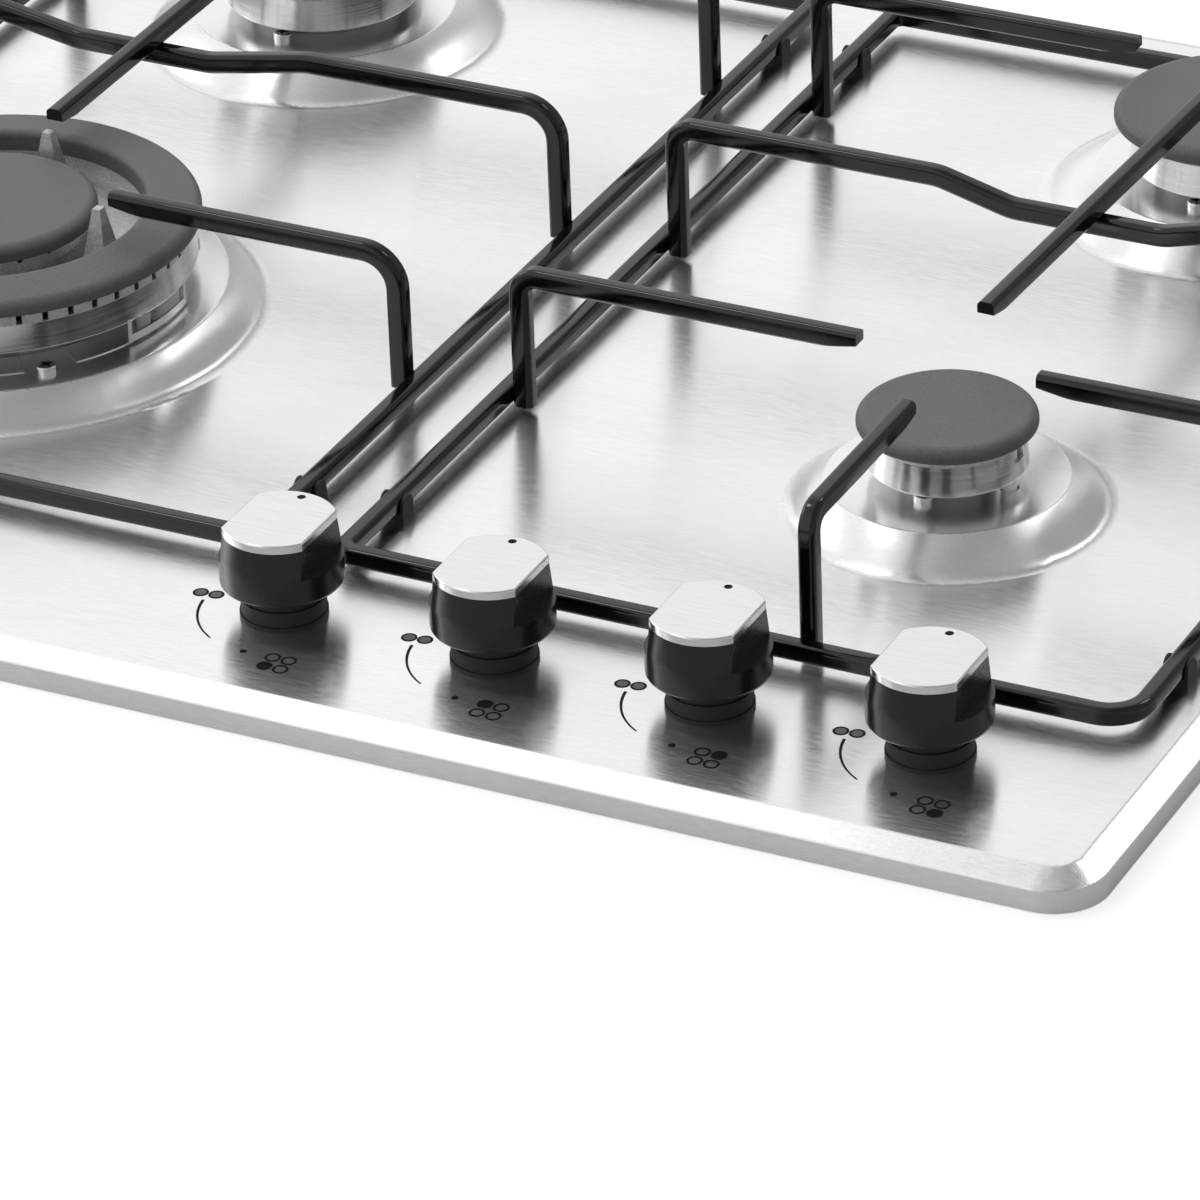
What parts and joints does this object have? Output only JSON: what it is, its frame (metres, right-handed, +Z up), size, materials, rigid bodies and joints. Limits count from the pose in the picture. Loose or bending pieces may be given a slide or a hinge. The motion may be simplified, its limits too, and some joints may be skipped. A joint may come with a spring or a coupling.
{
  "type": "gas cooktop",
  "caption": "Built-in gas cooktop: brushed steel panel with raised burner dishes, black enamelled lift-off pan supports, capped burners and push-and-turn knobs.",
  "frame": {"origin": "centre of the worktop cut-out, on the worktop surface under the rim seal", "axes": "+X to the user's right, +Y to the rear, +Z up"},
  "size_m": [0.58, 0.52, 0.11],
  "materials": {
    "panel_steel": "brushed stainless",
    "box_steel": "galvanised sheet",
    "fastener_steel": "zinc plated",
    "seal_rubber": "foam rubber",
    "cast_aluminium": "fine cast",
    "crown_aluminium": "turned band, cast top",
    "spark_ceramic": "white glazed",
    "spark_wire": "steel wire",
    "brass": "turned",
    "tap_metal": "cast",
    "pipe_steel": "drawn",
    "module_plastic": "moulded",
    "lead_rubber": "silicone sleeve",
    "terminal_plastic": "moulded",
    "collar_rubber": "moulded",
    "knob_plastic": "satin black",
    "knob_metal": "brushed",
    "cap_enamel": "matt black enamel",
    "support_enamel": "gloss black enamel",
    "foot_rubber": "moulded"
  },
  "bodies": {
    "hob": {"aux_cup": "cast_aluminium", "burner_box": "box_steel", "clamp_screws": "fastener_steel", "cup_screws": "fastener_steel", "electrode_ceramics": "spark_ceramic", "electrode_tips": "spark_wire", "fixing_clamps": "box_steel", "gas_rail": "pipe_steel", "ignition_leads": "lead_rubber", "ignition_module": "module_plastic", "injectors": "brass", "inlet_elbow": "brass", "inner_fasteners": "fastener_steel", "knob_collars": "collar_rubber", "pipe_aux": "pipe_steel", "pipe_semi_left": "pipe_steel", "pipe_semi_right": "pipe_steel", "pipe_wok_inner": "pipe_steel", "pipe_wok_outer": "pipe_steel", "rail_brackets": "box_steel", "rim_seal": "seal_rubber", "semi_cup_left": "cast_aluminium", "semi_cup_right": "cast_aluminium", "tap_bodies": "tap_metal", "tap_bonnets": "fastener_steel", "tap_switches": "terminal_plastic", "terminal_block": "terminal_plastic", "top_panel": "panel_steel", "wok_cup": "cast_aluminium"},
    "aux_crown": {"aux_crown": "crown_aluminium"},
    "aux_cap": {"aux_cap": "cap_enamel"},
    "semi_crown_right": {"semi_crown_right": "crown_aluminium"},
    "semi_cap_right": {"semi_cap_right": "cap_enamel"},
    "support_right": {"support_right_frame": "support_enamel", "support_right_bars": "support_enamel", "support_right_feet": "foot_rubber"},
    "semi_crown_left": {"semi_crown_left": "crown_aluminium"},
    "semi_cap_left": {"semi_cap_left": "cap_enamel"},
    "support_left": {"support_left_frame": "support_enamel", "support_left_bars": "support_enamel", "support_left_feet": "foot_rubber"},
    "wok_crown": {"wok_crown": "crown_aluminium"},
    "wok_ring_cap": {"wok_ring_cap": "cap_enamel"},
    "wok_centre_cap": {"wok_centre_cap": "cap_enamel"},
    "tap_plug_1": {"tap_plug_1": "brass"},
    "knob_1": {"tap_stem_1": "fastener_steel", "knob_1": "knob_plastic", "knob_cap_1": "knob_metal"},
    "tap_plug_2": {"tap_plug_2": "brass"},
    "knob_2": {"tap_stem_2": "fastener_steel", "knob_2": "knob_plastic", "knob_cap_2": "knob_metal"},
    "tap_plug_3": {"tap_plug_3": "brass"},
    "knob_3": {"tap_stem_3": "fastener_steel", "knob_3": "knob_plastic", "knob_cap_3": "knob_metal"},
    "tap_plug_4": {"tap_plug_4": "brass"},
    "knob_4": {"tap_stem_4": "fastener_steel", "knob_4": "knob_plastic", "knob_cap_4": "knob_metal"}
  },
  "joints": [
    {"name": "tap_turn_1", "type": "hinge", "parent": "hob", "child": "tap_plug_1", "pos_m": [0.0092, -0.207, 0], "axis": [0, 0, 1], "range_deg": [0, 180]},
    {"name": "knob_push_1", "type": "slide", "parent": "tap_plug_1", "child": "knob_1", "axis": [0, 0, -1], "range_m": [0, 0.003], "stiffness_N_per_m": 1200, "springref_m": -0.002},
    {"name": "tap_turn_2", "type": "hinge", "parent": "hob", "child": "tap_plug_2", "pos_m": [0.0792, -0.207, 0], "axis": [0, 0, 1], "range_deg": [0, 180]},
    {"name": "knob_push_2", "type": "slide", "parent": "tap_plug_2", "child": "knob_2", "axis": [0, 0, -1], "range_m": [0, 0.003], "stiffness_N_per_m": 1200, "springref_m": -0.002},
    {"name": "tap_turn_3", "type": "hinge", "parent": "hob", "child": "tap_plug_3", "pos_m": [0.1492, -0.207, 0], "axis": [0, 0, 1], "range_deg": [0, 180]},
    {"name": "knob_push_3", "type": "slide", "parent": "tap_plug_3", "child": "knob_3", "axis": [0, 0, -1], "range_m": [0, 0.003], "stiffness_N_per_m": 1200, "springref_m": -0.002},
    {"name": "tap_turn_4", "type": "hinge", "parent": "hob", "child": "tap_plug_4", "pos_m": [0.2192, -0.207, 0], "axis": [0, 0, 1], "range_deg": [0, 180]},
    {"name": "knob_push_4", "type": "slide", "parent": "tap_plug_4", "child": "knob_4", "axis": [0, 0, -1], "range_m": [0, 0.003], "stiffness_N_per_m": 1200, "springref_m": -0.002},
    {"name": "aux_crown_lift", "type": "slide", "parent": "hob", "child": "aux_crown", "axis": [0, 0, 1], "range_m": [0, 0.005]},
    {"name": "aux_cap_lift", "type": "slide", "parent": "aux_crown", "child": "aux_cap", "axis": [0, 0, 1], "range_m": [0, 0.005]},
    {"name": "semi_crown_right_lift", "type": "slide", "parent": "hob", "child": "semi_crown_right", "axis": [0, 0, 1], "range_m": [0, 0.0045]},
    {"name": "semi_cap_right_lift", "type": "slide", "parent": "semi_crown_right", "child": "semi_cap_right", "axis": [0, 0, 1], "range_m": [0, 0.0045]},
    {"name": "semi_crown_left_lift", "type": "slide", "parent": "hob", "child": "semi_crown_left", "axis": [0, 0, 1], "range_m": [0, 0.0045]},
    {"name": "semi_cap_left_lift", "type": "slide", "parent": "semi_crown_left", "child": "semi_cap_left", "axis": [0, 0, 1], "range_m": [0, 0.0045]},
    {"name": "wok_crown_lift", "type": "slide", "parent": "hob", "child": "wok_crown", "axis": [0, 0, 1], "range_m": [0, 0.002]},
    {"name": "wok_ring_cap_lift", "type": "slide", "parent": "wok_crown", "child": "wok_ring_cap", "axis": [0, 0, 1], "range_m": [0, 0.003]},
    {"name": "wok_centre_cap_lift", "type": "slide", "parent": "wok_crown", "child": "wok_centre_cap", "axis": [0, 0, 1], "range_m": [0, 0.003]},
    {"name": "support_right_lift", "type": "slide", "parent": "hob", "child": "support_right", "axis": [0, 0, 1], "range_m": [0, 0.08]},
    {"name": "support_left_lift", "type": "slide", "parent": "hob", "child": "support_left", "axis": [0, 0, 1], "range_m": [0, 0.08]}
  ]
}
